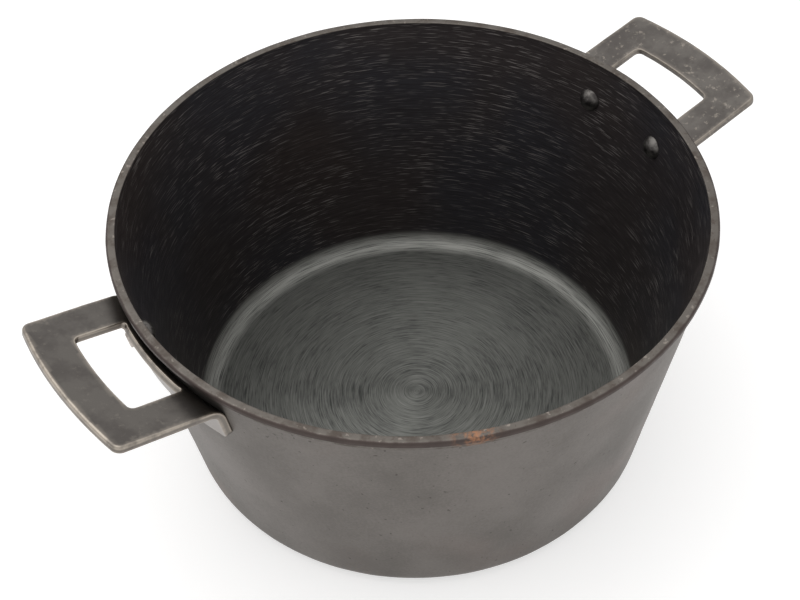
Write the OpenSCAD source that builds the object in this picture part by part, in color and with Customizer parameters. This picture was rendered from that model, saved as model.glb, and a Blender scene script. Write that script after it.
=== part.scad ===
// Cast iron roasting pot: a tapering cast bowl, turned inside, with two plate handles riveted on.
// Millimetres. The pot stands on z = 0 and turns about the Z axis; the handles point along +X and -X.

/* [Pot] */
// Diameter over the rim
rim_d = 250; // [200:1:300]
// Height from the underside to the top of the rim
pot_h = 125; // [100:1:150]
// Width of the flat ground face on top of the rim
rim_flat = 2.6; // [2:0.1:3.4]
// How far the rim stands out over the wall
rim_lip = 2.1; // [1.5:0.1:2.5]
// Depth of the outer face of the rim
rim_band = 2.4; // [1.8:0.1:3.5]
// Diameter where wall and underside would meet without their fillet
base_d = 205.4; // [180:0.1:214]
// Radius of the fillet between wall and underside
base_fillet = 10.5; // [6:0.5:14]
// Thickness of the floor
floor_t = 4.4; // [3.5:0.1:6]
// Diameter where the turned wall and the floor would meet without their fillet
floor_d = 197.2; // [180:0.1:200]
// Radius of the fillet between the turned wall and the floor
floor_fillet = 6; // [4:0.5:9]

/* [Handles] */
// Width of a handle across its arms
handle_w = 76.2; // [66:0.2:84]
// How far a handle reaches out past the rim, along its plate
handle_reach = 38.7; // [34:0.1:44]
// Thickness of the plate
plate_t = 3.2; // [2.5:0.1:4]
// Upward tilt of the plate
plate_tilt = 12.7; // [5:0.1:18]
// Depth of the plate's top face below the rim, straight under the rim's edge
plate_drop = 8.3; // [7:0.1:10]
// Radius of the arc that ends the plate
end_arc = 186; // [150:1:220]
// Radius of the plate's two outer corners
corner_r = 4; // [2:0.5:8]
// Width of the window
window_w = 44; // [36:0.5:48]
// How far the window reaches out past the rim, along the plate
window_reach = 22; // [18:0.5:26]
// Radius of the arc that ends the window
window_arc = 149; // [120:1:180]
// Radius of the window's corners
window_corner = 2.6; // [1.5:0.1:4]
// Radius of the bend between plate and flange, on the side of the wall
bend_r = 8; // [6:0.1:9]
// Height of the flange's lower edge below the rim
flange_drop = 26.3; // [24:0.1:32]

/* [Rivets] */
// Angle of each rivet from the middle of its handle
rivet_angle = 10.15; // [8:0.05:12]
// Depth of the rivets below the rim, on the inside
rivet_drop = 18.5; // [17:0.1:20]
// Diameter of the shank
shank_d = 6; // [5:0.1:7]
// Diameter of the domed head inside the pot
head_d = 10.4; // [8:0.1:12]
// Height of the domed head
head_h = 3.2; // [2:0.1:4]
// Diameter of the tail outside the flange
tail_d = 6.4; // [6.2:0.1:9]
// Height of the tail
tail_h = 2.4; // [1.5:0.1:3]
// Chamfer round the end of the tail
tail_chamfer = 0.5; // [0.2:0.1:0.8]

/* [Hidden] */
$fn = 96;
EPS = 0.01;
FAR = 400;

rim_r = rim_d / 2;
// Outer radius of the wall just under the rim, and its level
wall_top_r = rim_r - rim_lip;
wall_top_z = pot_h - rim_band - rim_lip / 2;
// Lean of the outer wall from the vertical
wall_lean = atan((wall_top_r - base_d / 2) / wall_top_z);
// Inner edge of the rim, inside the ground face and the worn outer edge
rim_round = 1.2;
mouth_r = rim_r - rim_round - rim_flat;
// Lean of the turned inner wall
inner_lean = atan((mouth_r - floor_d / 2) / (pot_h - floor_t));
// Clearance between a shank and its hole, on the radius
hole_gap = 0.05;

// Outer and inner radius of the wall at height z
function outer_r(z) = base_d / 2 + z * tan(wall_lean);
function inner_r(z) = floor_d / 2 + (z - floor_t) * tan(inner_lean);

// Centre of the bend: one radius from the wall, and one below the plate's top face less a hair
bend_z = 0.05 + (pot_h - plate_drop - bend_r / cos(plate_tilt)
    + (base_d / 2 + bend_r / cos(wall_lean) - rim_r) * tan(plate_tilt))
    / (1 - tan(wall_lean) * tan(plate_tilt));
bend_x = outer_r(bend_z) + bend_r / cos(wall_lean);

// Rivet axis: it starts on the turned wall and runs square to the outer wall
rivet_z = pot_h - rivet_drop;
rivet_r = inner_r(rivet_z);
// Length along the axis from the turned wall to the outside of the flange
wall_span = (outer_r(rivet_z) - rivet_r) * cos(wall_lean);
grip = wall_span + plate_t;
// The head's flat underside stands off the turned wall by its hollow and by its extra lean
head_seat = head_d * head_d / 8 / rivet_r + head_d / 2 * sin(inner_lean - wall_lean);

// Points of an arc round [cx, cz], from one angle to another
function arc(cx, cz, r, from, to, steps = 12) =
    [for (i = [0 : steps])
        let (a = from + (to - from) * i / steps)
            [cx + r * cos(a), cz + r * sin(a)]];

// Fillet in the corner where a level face meets a wall that leans outward, from level to wall
function foot_arc(corner_x, level, lean, r) =
    arc(corner_x - r * tan((90 - lean) / 2), level + r, r, -90, -lean);

// Section of the pot, radius against height, as one closed outline
function pot_outline() = concat(
    [[0, 0]],
    foot_arc(base_d / 2, 0, wall_lean, base_fillet),
    // The rim stands out over the wall on a sloping underside and is worn round outside
    [[wall_top_r, wall_top_z], [rim_r, pot_h - rim_band]],
    arc(rim_r - rim_round, pot_h - rim_round, rim_round, 0, 90),
    // Back down the turned wall and across the floor
    [[mouth_r, pot_h]],
    reverse(foot_arc(floor_d / 2, floor_t, inner_lean, floor_fillet)),
    [[0, floor_t]]
);

function reverse(points) = [for (i = [len(points) - 1 : -1 : 0]) points[i]];

// Places its children at one rivet of one handle, the rivet axis along +Z and pointing outward
module at_rivet(side, end) {
    rotate([0, 0, side + end * rivet_angle])
        translate([rivet_r, 0, rivet_z])
            rotate([0, 90 + wall_lean, 0])
                children();
}

module rivet_hole(side, end) {
    at_rivet(side, end)
        translate([0, 0, -10])
            cylinder(d = shank_d + 2 * hole_gap, h = 40);
}

// Body: one casting with a bowl turned out of it
module pot_body() {
    color("#4a4744")
        difference() {
            rotate_extrude() polygon(pot_outline());
            for (side = [0, 180], end = [-1, 1]) rivet_hole(side, end);
        }
}

// Plane of a plate: x runs outward along the plate from the pot's axis, z is zero on its top face
module on_plate() {
    translate([rim_r, 0, pot_h - plate_drop])
        rotate([0, -plate_tilt, 0])
            translate([-rim_r, 0, 0])
                children();
}

// A strip along x with an arc at its outer end and both outer corners rounded
module arc_ended_strip(width, reach, arc, corner) {
    tip = rim_r + reach;
    middle = tip - arc;
    corner_y = width / 2 - corner;
    corner_x = middle + sqrt(pow(arc - corner, 2) - pow(corner_y, 2));
    // Where the end arc touches each corner circle
    touch_y = corner_y * arc / (arc - corner);
    translate([0, -width / 2]) square([corner_x, width]);
    intersection() {
        translate([middle, 0]) circle(r = arc, $fn = 360);
        translate([0, -touch_y]) square([tip, 2 * touch_y]);
    }
    for (s = [-1, 1]) translate([corner_x, s * corner_y]) circle(r = corner);
}

// The window: its inner side runs parallel to the wall
module window_outline() {
    difference() {
        arc_ended_strip(window_w, window_reach, window_arc, window_corner);
        circle(r = rim_r + 0.3, $fn = 360);
    }
}

// Section of flange and bend, to be swept round the pot; x is the radius
module flange_profile() {
    low_z = pot_h - flange_drop;
    face = plate_t / cos(wall_lean);
    polygon([
        [outer_r(low_z), low_z],
        [outer_r(low_z) + face, low_z],
        [outer_r(bend_z) + face, bend_z],
        [outer_r(bend_z), bend_z]
    ]);
    // Quarter of a ring, from the flange up and over to the plate
    intersection() {
        difference() {
            translate([bend_x, bend_z]) circle(r = bend_r);
            translate([bend_x, bend_z]) circle(r = bend_r - plate_t);
        }
        polygon([
            [bend_x - 2 * bend_r, bend_z],
            [bend_x, bend_z],
            [bend_x - tan(plate_tilt) * 2 * bend_r, bend_z + 2 * bend_r],
            [bend_x - 2 * bend_r, bend_z + 2 * bend_r]
        ]);
    }
}

// Handle that points along +X
module handle() {
    color("#6b6763")
        difference() {
            union() {
                // Plate, from the bend outward
                difference() {
                    on_plate()
                        translate([0, 0, -plate_t])
                            linear_extrude(height = plate_t)
                                arc_ended_strip(handle_w, handle_reach, end_arc, corner_r);
                    // It reaches half a millimetre into the bend
                    cylinder(r = bend_x - bend_r * sin(plate_tilt) - 0.5, h = FAR, $fn = 360);
                }
                // Flange and bend, cut square to the handle's width
                intersection() {
                    rotate([0, 0, -30])
                        rotate_extrude(angle = 60, $fn = 360) flange_profile();
                    translate([0, -handle_w / 2, 0]) cube([FAR, handle_w, FAR]);
                    // Nothing stands above the top face of the plate
                    on_plate() translate([0, -FAR / 2, -FAR]) cube([FAR, FAR, FAR]);
                }
            }
            on_plate()
                translate([0, 0, -plate_t - 1])
                    linear_extrude(height = plate_t + 2) window_outline();
            for (end = [-1, 1]) rivet_hole(0, end);
        }
}

module handle_right() {
    handle();
}

module handle_left() {
    rotate([0, 0, 180]) handle();
}

// Rivet: a domed head inside the pot, a shank, and a tail set against the flange
module rivet(side, end) {
    dome_r = (pow(head_d / 2, 2) + head_h * head_h) / 2 / head_h;
    color("#3a3836")
        at_rivet(side, end) {
            // Dome, cut from a ball
            translate([0, 0, -head_seat])
                intersection() {
                    translate([0, 0, dome_r - head_h]) sphere(r = dome_r);
                    translate([0, 0, -head_h - 1]) cylinder(d = head_d + 2, h = head_h + 1);
                }
            translate([0, 0, -head_seat - EPS])
                cylinder(d = shank_d, h = grip + head_seat + 2 * EPS);
            translate([0, 0, grip])
                cylinder(d = tail_d, h = tail_h - tail_chamfer);
            translate([0, 0, grip + tail_h - tail_chamfer])
                cylinder(d1 = tail_d, d2 = tail_d - 2 * tail_chamfer, h = tail_chamfer);
        }
}

// Front is -Y and back is +Y
module rivet_right_front() { rivet(0, -1); }
module rivet_right_back() { rivet(0, 1); }
module rivet_left_front() { rivet(180, 1); }
module rivet_left_back() { rivet(180, -1); }

pot_body();
handle_left();
handle_right();
rivet_left_front();
rivet_left_back();
rivet_right_front();
rivet_right_back();
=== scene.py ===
"""Cast iron roasting pot: a turned bowl with a riveted plate handle on each side.

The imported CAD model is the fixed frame. The pot stands on z = 0 and turns about Z, its
handles point along +X and -X, and its front is -Y. Sizes in the classes are millimetres,
and the meshes are metres.
"""

import logging
import math
from collections.abc import Sequence
from dataclasses import dataclass
from enum import Enum

import bpy
import numpy as np
from mathutils import Matrix, Vector, geometry, noise


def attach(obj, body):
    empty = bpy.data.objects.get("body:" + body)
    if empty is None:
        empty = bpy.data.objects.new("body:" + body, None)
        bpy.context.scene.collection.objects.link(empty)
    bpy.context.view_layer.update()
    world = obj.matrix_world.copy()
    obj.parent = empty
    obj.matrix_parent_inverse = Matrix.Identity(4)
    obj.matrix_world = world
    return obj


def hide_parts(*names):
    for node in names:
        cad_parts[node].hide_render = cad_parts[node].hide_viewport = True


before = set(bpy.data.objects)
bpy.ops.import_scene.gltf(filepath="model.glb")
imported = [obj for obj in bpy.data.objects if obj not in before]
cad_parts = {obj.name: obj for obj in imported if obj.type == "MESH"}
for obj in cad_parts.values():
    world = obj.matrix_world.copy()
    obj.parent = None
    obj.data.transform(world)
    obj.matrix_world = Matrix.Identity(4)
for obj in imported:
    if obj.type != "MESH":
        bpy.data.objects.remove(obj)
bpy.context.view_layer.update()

MM = 0.001
BODY = "root"
log = logging.getLogger("roasting_pot")


class Zone(Enum):
    """Part of the pot's surface that has a finish of its own."""

    OUTSIDE = 0
    RIM = 1
    INSIDE = 2


class Side(Enum):
    """Side of the pot that a handle is on, as its angle about Z in degrees."""

    RIGHT = 0.0
    LEFT = 180.0


class End(Enum):
    """End of a handle that a rivet is at, as a factor on the rivet's angle for the right handle."""

    FRONT = -1.0
    BACK = 1.0


def tone(red: float, green: float, blue: float) -> tuple[float, float, float, float]:
    """Colour as the shaders take it.

    Args:
        red: red of the colour as seen on a screen, 0 to 255.
        green: green, likewise.
        blue: blue, likewise.

    Returns:
        The linear colour with full alpha.
    """
    shares = [c / 255 for c in (red, green, blue)]
    linear = [s / 12.92 if s <= 0.04045 else ((s + 0.055) / 1.055) ** 2.4 for s in shares]
    return (linear[0], linear[1], linear[2], 1.0)


class Bench:
    """A node tree with short ways to add nodes and to link them."""

    def __init__(self, tree: bpy.types.NodeTree) -> None:
        """Starts on a tree.

        Args:
            tree: the shader or geometry tree to work on.
        """
        self.tree = tree

    def add(self, kind: str, **settings) -> bpy.types.Node:
        """Adds a node.

        Args:
            kind: the node's type name.
            **settings: attributes of the node.

        Returns:
            The node.
        """
        node = self.tree.nodes.new(kind)
        for name, value in settings.items():
            setattr(node, name, value)
        return node

    def feed(self, socket: bpy.types.NodeSocket, value) -> None:
        """Links an output to a socket, or sets the socket to a plain value.

        Args:
            socket: the input socket.
            value: an output socket, a number, a vector or a colour.
        """
        if isinstance(value, bpy.types.NodeSocket):
            self.tree.links.new(value, socket)
        else:
            socket.default_value = value

    def math(self, operation: str, *values, clamp: bool = False) -> bpy.types.NodeSocket:
        """Does arithmetic.

        Args:
            operation: the Math node's operation.
            *values: one to three numbers or sockets.
            clamp: whether the result is kept between 0 and 1.

        Returns:
            The result's socket.
        """
        node = self.add("ShaderNodeMath", operation=operation, use_clamp=clamp)
        for socket, value in zip(node.inputs, values):
            self.feed(socket, value)
        return node.outputs[0]

    def split(self, vector: bpy.types.NodeSocket) -> list[bpy.types.NodeSocket]:
        """Takes a vector apart into its three numbers."""
        node = self.add("ShaderNodeSeparateXYZ")
        self.feed(node.inputs[0], vector)
        return list(node.outputs)

    def vector(self, x, y, z) -> bpy.types.NodeSocket:
        """Puts three numbers or sockets together into a vector."""
        node = self.add("ShaderNodeCombineXYZ")
        for socket, value in zip(node.inputs, (x, y, z)):
            self.feed(socket, value)
        return node.outputs[0]

    def noise(self, vector, scale: float, detail: float = 2.0, rough: float = 0.5, seed: float = 0.0):
        """Adds noise.

        Args:
            vector: socket of the coordinates.
            scale: features per unit of the coordinates.
            detail: octaves past the first.
            rough: strength of the finer octaves.
            seed: picks another pattern of the same kind.

        Returns:
            Socket of the noise, 0 to 1 and mostly near 0.5.
        """
        node = self.add("ShaderNodeTexNoise", noise_dimensions="4D")
        self.feed(node.inputs["Vector"], vector)
        for name, value in (("W", seed), ("Scale", scale), ("Detail", detail), ("Roughness", rough)):
            self.feed(node.inputs[name], value)
        return node.outputs[0]

    def ramp(self, value, low: float, high: float, start: float = 0.0, end: float = 1.0):
        """Maps low to high smoothly onto start to end.

        Args:
            value: socket of the number.
            low: number that gives start.
            high: number that gives end.
            start: result at low and below.
            end: result at high and above.

        Returns:
            The result's socket.
        """
        node = self.add("ShaderNodeMapRange", interpolation_type="SMOOTHSTEP")
        for socket, number in zip(node.inputs, (value, low, high, start, end)):
            self.feed(socket, number)
        return node.outputs[0]

    def blend(self, factor, first, second, how: str = "MIX") -> bpy.types.NodeSocket:
        """Mixes two colours.

        Args:
            factor: share of the second, 0 to 1.
            first: colour or socket.
            second: colour or socket.
            how: blend type.

        Returns:
            The colour's socket.
        """
        node = self.add("ShaderNodeMix", data_type="RGBA", blend_type=how)
        self.feed(node.inputs[0], factor)
        self.feed(node.inputs[6], first)
        self.feed(node.inputs[7], second)
        return node.outputs[2]


@dataclass(frozen=True)
class Finish:
    """What every finish has in common: a name and a metal's constant values."""

    name: str
    metallic: float = 1.0

    def material(self) -> bpy.types.Material:
        """Makes the material.

        Returns:
            A material whose colour, roughness and bump come from the finish's own pattern.
        """
        material = bpy.data.materials.new(self.name)
        material.use_nodes = True
        bench = Bench(material.node_tree)
        shader = material.node_tree.nodes["Principled BSDF"]
        shader.inputs["Metallic"].default_value = self.metallic
        place = bench.add("ShaderNodeTexCoord").outputs["Object"]
        self.lay(bench, shader, place)
        return material

    def lay(self, bench: Bench, shader: bpy.types.Node, place: bpy.types.NodeSocket) -> None:
        """Lays the pattern on the shader.

        Args:
            bench: the material's bench.
            shader: its Principled shader.
            place: socket of the Object coordinates, in metres.
        """
        raise NotImplementedError

    @staticmethod
    def relief(bench: Bench, shader: bpy.types.Node, height, depth: float, strength: float = 1.0) -> None:
        """Gives the shader a fine relief.

        Args:
            bench: the material's bench.
            shader: its Principled shader.
            height: socket of the height, 0 to 1.
            depth: depth of the relief in metres.
            strength: how much of it shows.
        """
        bump = bench.add("ShaderNodeBump")
        bench.feed(bump.inputs["Strength"], strength)
        bench.feed(bump.inputs["Distance"], depth)
        bench.feed(bump.inputs["Height"], height)
        bench.feed(shader.inputs["Normal"], bump.outputs[0])


@dataclass(frozen=True)
class CastSkin(Finish):
    """Smooth grey skin of the casting: faint clouds, a warm tint in places and small dark pits."""

    name: str = "cast_skin"
    dark: tuple = tone(104, 100, 96)
    light: tuple = tone(119, 114, 110)
    warm: tuple = tone(126, 112, 106)
    pit: tuple = tone(74, 68, 64)
    stipple_top: float = 0.1195
    stipple_foot: float = 0.1065

    def lay(self, bench: Bench, shader: bpy.types.Node, place: bpy.types.NodeSocket) -> None:
        """Lays the skin; see Finish.lay."""
        clouds = bench.noise(place, 26, 3, 0.55, 1.3)
        grain = bench.noise(place, 900, 3, 0.6, 4.1)
        mixed = bench.math("ADD", bench.math("MULTIPLY", clouds, 0.65), bench.math("MULTIPLY", grain, 0.35))
        colour = bench.blend(bench.ramp(mixed, 0.3, 0.7), self.dark, self.light)
        tint = bench.ramp(bench.noise(place, 17, 2, 0.5, 7.7), 0.50, 0.72, 0.0, 0.35)
        colour = bench.blend(tint, colour, self.warm)
        # Pits are scattered thinly everywhere, and close together just below the rim
        height = bench.split(place)[2]
        band = bench.math(
            "MULTIPLY",
            bench.ramp(height, self.stipple_foot, self.stipple_foot + 0.004),
            bench.ramp(height, self.stipple_top - 0.002, self.stipple_top, 1.0, 0.0),
        )
        patchy = bench.ramp(bench.noise(place, 30, 2, 0.5, 2.2), 0.42, 0.62)
        crowd = bench.math("MULTIPLY", bench.math("MULTIPLY", band, patchy), 0.05)
        speck = bench.noise(place, 480, 1, 0.4, 9.4)
        pits = bench.ramp(bench.math("ADD", speck, crowd), 0.70, 0.76, 0.0, 0.75)
        colour = bench.blend(pits, colour, self.pit)
        bench.feed(shader.inputs["Base Color"], colour)
        bench.feed(shader.inputs["Roughness"], bench.ramp(mixed, 0.35, 0.65, 0.56, 0.48))
        hollow = bench.math("SUBTRACT", grain, bench.math("MULTIPLY", pits, 0.8))
        self.relief(bench, shader, hollow, 0.00006, 0.55)


@dataclass(frozen=True)
class TurnedIron(Finish):
    """Inside of the bowl: turned rings on the floor, a painted highlight on the ring where floor and wall meet, and
    fine bright hairlines round the dark wall.
    """

    name: str = "turned_iron"
    metallic: float = 0.75
    floor: tuple = tone(97, 98, 94)
    floor_dark: tuple = tone(62, 63, 61)
    light_streak_and_ring_highlight: tuple = tone(150, 150, 145)
    wall: tuple = tone(68, 62, 62)
    wall_brown: tuple = tone(72, 62, 57)
    wall_blue: tuple = tone(64, 63, 68)
    hairline: tuple = tone(150, 144, 141)
    floor_radius: float = 0.0905
    wall_foot: float = 0.0125

    def lay(self, bench: Bench, shader: bpy.types.Node, place: bpy.types.NodeSocket) -> None:
        """Lays rings and hairlines; see Finish.lay."""
        x, y, z = bench.split(place)
        radius = bench.math("SQRT", bench.math("ADD", bench.math("MULTIPLY", x, x), bench.math("MULTIPLY", y, y)))
        # One coordinate that grows across the floor and on up the wall, as the cutting tool moved
        along = bench.math("ADD", radius, z)

        def rings(stretch: float, pitch: float, detail: float, rough: float, seed: float):
            """Noise drawn out round the pot: streaks 1/stretch metres long, 1/pitch metres apart."""
            spread = bench.vector(
                bench.math("MULTIPLY", x, stretch),
                bench.math("MULTIPLY", y, stretch),
                bench.math("MULTIPLY", along, pitch),
            )
            return bench.noise(spread, 1.0, detail, rough, seed)

        on_wall = bench.ramp(z, 0.0085, self.wall_foot)
        on_floor = bench.ramp(radius, self.floor_radius, self.floor_radius + 0.004, 1.0, 0.0)

        chatter = rings(150, 1700, 2, 0.6, 3.0)
        fine = rings(70, 3000, 2, 0.5, 5.0)
        broad = bench.noise(place, 30, 3, 0.6, 8.0)
        dark = bench.math("ADD", bench.math("MULTIPLY", chatter, 0.6), bench.math("MULTIPLY", broad, 0.4))
        colour = bench.blend(bench.ramp(dark, 0.36, 0.56), self.floor_dark, self.floor)
        # Light turned streaks on the floor, in the same colour that paints the ring's highlight below
        colour = bench.blend(bench.ramp(fine, 0.35, 0.7, 0.0, 0.35), colour, self.light_streak_and_ring_highlight)
        # Painted highlight: the ring where floor and wall meet is painted light, standing in for the bright
        # surroundings it reflects
        ring = bench.math("SUBTRACT", bench.math("SUBTRACT", 1.0, on_floor), on_wall, clamp=True)
        colour = bench.blend(bench.math("MULTIPLY", ring, bench.ramp(fine, 0.3, 0.6)), colour, self.light_streak_and_ring_highlight)

        tint = bench.noise(place, 12, 2, 0.5, 11.0)
        wall = bench.blend(bench.ramp(tint, 0.42, 0.62), self.wall_blue, self.wall)
        brown = bench.ramp(bench.noise(place, 9, 2, 0.5, 21.0), 0.48, 0.66, 0.0, 0.6)
        wall = bench.blend(brown, wall, self.wall_brown)
        wall_streaks = rings(70, 1500, 3, 0.65, 13.0)
        wall = bench.blend(bench.ramp(wall_streaks, 0.3, 0.7, 0.6, 0.0), wall, tone(38, 34, 34))
        lines = bench.math(
            "MULTIPLY",
            bench.ramp(rings(110, 2300, 1, 0.4, 15.0), 0.59, 0.70),
            bench.ramp(bench.noise(place, 26, 2, 0.5, 17.0), 0.4, 0.62, 0.3, 1.0),
        )
        wall = bench.blend(bench.math("MULTIPLY", lines, 0.9), wall, self.hairline)
        colour = bench.blend(on_wall, colour, wall)
        bench.feed(shader.inputs["Base Color"], colour)

        # The ring where floor and wall meet is duller, so its highlight spreads
        rough = bench.ramp(fine, 0.3, 0.7, 0.46, 0.36)
        bench.feed(shader.inputs["Roughness"], bench.math("ADD", rough, bench.math("MULTIPLY", ring, 0.16)))
        # Turned grooves spread light across themselves, a quarter turn from the way round
        shader.inputs["Anisotropic"].default_value = 0.6
        shader.inputs["Anisotropic Rotation"].default_value = 0.25
        around = bench.add("ShaderNodeTangent", direction_type="RADIAL", axis="Z")
        bench.feed(shader.inputs["Tangent"], around.outputs[0])
        height = bench.math("ADD", bench.math("MULTIPLY", chatter, 0.6), bench.math("MULTIPLY", fine, 0.4))
        self.relief(bench, shader, height, 0.00010, 0.7)


@dataclass(frozen=True)
class GroundRim(Finish):
    """Rim of the pot: ground light on top, dark round its outside, with brown spots and a trace of rust."""

    name: str = "ground_rim"
    ground: tuple = tone(104, 99, 94)
    spot: tuple = tone(82, 73, 67)
    fleck: tuple = tone(150, 142, 134)
    outside: tuple = tone(78, 70, 67)
    rust: tuple = tone(160, 116, 88)
    rust_place: tuple = (0.0, 0.0, 0.0)

    def lay(self, bench: Bench, shader: bpy.types.Node, place: bpy.types.NodeSocket) -> None:
        """Lays the ground face and its spots; see Finish.lay."""
        x, y, _ = bench.split(place)
        radius = bench.math("SQRT", bench.math("ADD", bench.math("MULTIPLY", x, x), bench.math("MULTIPLY", y, y)))
        spots = bench.noise(place, 120, 4, 0.65, 2.0)
        colour = bench.blend(bench.ramp(spots, 0.44, 0.66, 0.0, 0.65), self.ground, self.spot)
        flecks = bench.noise(place, 420, 2, 0.6, 5.0)
        colour = bench.blend(bench.ramp(flecks, 0.60, 0.72, 0.0, 0.7), colour, self.fleck)
        colour = bench.blend(bench.ramp(flecks, 0.40, 0.30, 0.0, 0.6), colour, self.spot)
        edge = bench.math("ADD", radius, bench.math("MULTIPLY", bench.math("SUBTRACT", spots, 0.5), 0.0012))
        colour = bench.blend(bench.ramp(edge, 0.12385, 0.12450), colour, self.outside)
        # A trace of rust in one place
        away = bench.add("ShaderNodeVectorMath", operation="DISTANCE")
        bench.feed(away.inputs[0], place)
        bench.feed(away.inputs[1], self.rust_place)
        near = bench.ramp(away.outputs["Value"], 0.003, 0.011, 1.0, 0.0)
        stain = bench.math("MULTIPLY", near, bench.ramp(bench.noise(place, 380, 3, 0.6, 8.0), 0.40, 0.62))
        colour = bench.blend(bench.math("MULTIPLY", stain, 0.8), colour, self.rust)
        bench.feed(shader.inputs["Base Color"], colour)
        bench.feed(shader.inputs["Roughness"], bench.ramp(spots, 0.3, 0.7, 0.42, 0.62))
        self.relief(bench, shader, flecks, 0.00012, 0.6)


@dataclass(frozen=True)
class SatinPlate(Finish):
    """Handle plate: satin dark iron, its edges worn bright and given a painted highlight, and its underside painted
    paler as if lit from the floor below.
    """

    name: str = "satin_plate"
    face: tuple = tone(100, 96, 92)
    cloud: tuple = tone(86, 82, 79)
    worn: tuple = tone(166, 157, 146)
    painted_underside_light: tuple = tone(144, 138, 134)
    speck: tuple = tone(160, 152, 142)
    mottle: float = 0.15
    wear: float = 1.0
    smooth: float = 0.32

    def lay(self, bench: Bench, shader: bpy.types.Node, place: bpy.types.NodeSocket) -> None:
        """Lays clouds, specks, wear with a painted edge highlight, and painted underside light; see Finish.lay."""
        clouds = bench.noise(place, 70, 4, 0.6, 1.0)
        fine = bench.noise(place, 620, 3, 0.65, 3.0)
        colour = bench.blend(bench.ramp(clouds, 0.4, 0.62), self.face, self.cloud)
        specks = bench.ramp(bench.noise(place, 330, 3, 0.7, 6.0), 0.56, 0.72, 0.0, self.mottle)
        colour = bench.blend(specks, colour, self.speck)
        dents = bench.ramp(bench.noise(place, 210, 3, 0.6, 12.0), 0.60, 0.74, 0.0, self.mottle)
        colour = bench.blend(dents, colour, tone(74, 70, 66))
        # Edges worn bright, with a painted highlight laid along them in the same colour
        edge = bench.add("ShaderNodeAttribute", attribute_name="worn").outputs["Fac"]
        rubbed = bench.ramp(bench.noise(place, 150, 3, 0.6, 9.0), 0.32, 0.56, 0.35, 1.0)
        wear_and_highlight = bench.math("MULTIPLY", bench.math("MULTIPLY", edge, rubbed), self.wear, clamp=True)
        # Painted light: the underside is painted paler, standing in for light thrown up from the pale floor
        below = bench.add("ShaderNodeAttribute", attribute_name="below").outputs["Fac"]
        colour = bench.blend(bench.math("MULTIPLY", below, 0.8), colour, self.painted_underside_light)
        colour = bench.blend(wear_and_highlight, colour, self.worn)
        bench.feed(shader.inputs["Base Color"], colour)
        rough = bench.ramp(clouds, 0.35, 0.65, self.smooth, self.smooth + 0.08)
        bench.feed(shader.inputs["Roughness"], bench.math("ADD", rough, bench.math("MULTIPLY", specks, 0.2)))
        height = bench.math("ADD", bench.math("MULTIPLY", clouds, 0.5), bench.math("MULTIPLY", fine, 0.5))
        self.relief(bench, shader, height, 0.00012, 0.2 + 0.5 * self.mottle)


@dataclass(frozen=True)
class RivetIron(Finish):
    """Rivet: a smooth blackened head inside, and a tail outside that is paler bare iron."""

    name: str = "rivet_iron"
    head: tuple = tone(104, 101, 98)
    dark: tuple = tone(62, 59, 58)
    tail: tuple = tone(196, 188, 182)

    def lay(self, bench: Bench, shader: bpy.types.Node, place: bpy.types.NodeSocket) -> None:
        """Lays the two tones; see Finish.lay."""
        clouds = bench.noise(place, 260, 3, 0.6, 4.0)
        fine = bench.noise(place, 1500, 2, 0.5, 6.0)
        colour = bench.blend(bench.ramp(clouds, 0.38, 0.62), self.dark, self.head)
        outside = bench.add("ShaderNodeAttribute", attribute_name="zone").outputs["Fac"]
        tail = bench.math("MULTIPLY", outside, bench.ramp(clouds, 0.3, 0.6, 0.6, 1.0))
        colour = bench.blend(tail, colour, self.tail)
        bench.feed(shader.inputs["Base Color"], colour)
        bench.feed(shader.inputs["Roughness"], bench.ramp(clouds, 0.3, 0.7, 0.34, 0.44))
        height = bench.math("ADD", bench.math("MULTIPLY", clouds, 0.7), bench.math("MULTIPLY", fine, 0.3))
        self.relief(bench, shader, height, 0.00012, 0.35)


def add_input(tree: bpy.types.NodeTree, name: str, kind: str, value=None) -> str:
    """Adds a named input to a geometry tree.

    Args:
        tree: the tree.
        name: the input's name.
        kind: short name of the socket type, such as Float.
        value: default value, where the type has one.

    Returns:
        The socket's identifier.
    """
    socket = tree.interface.new_socket(name=name, in_out="INPUT", socket_type="NodeSocket" + kind)
    if value is not None:
        socket.default_value = value
    return socket.identifier


def geometry_tree(name: str) -> tuple[bpy.types.NodeTree, Bench, bpy.types.Node, bpy.types.Node]:
    """Starts a geometry tree that takes an outline and gives a mesh.

    Args:
        name: the tree's name.

    Returns:
        The tree, its bench, its input node and its output node.
    """
    tree = bpy.data.node_groups.new(name, "GeometryNodeTree")
    tree.interface.new_socket(name="Mesh", in_out="OUTPUT", socket_type="NodeSocketGeometry")
    add_input(tree, "Outline", "Geometry")
    bench = Bench(tree)
    return tree, bench, bench.add("NodeGroupInput"), bench.add("NodeGroupOutput")


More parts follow.
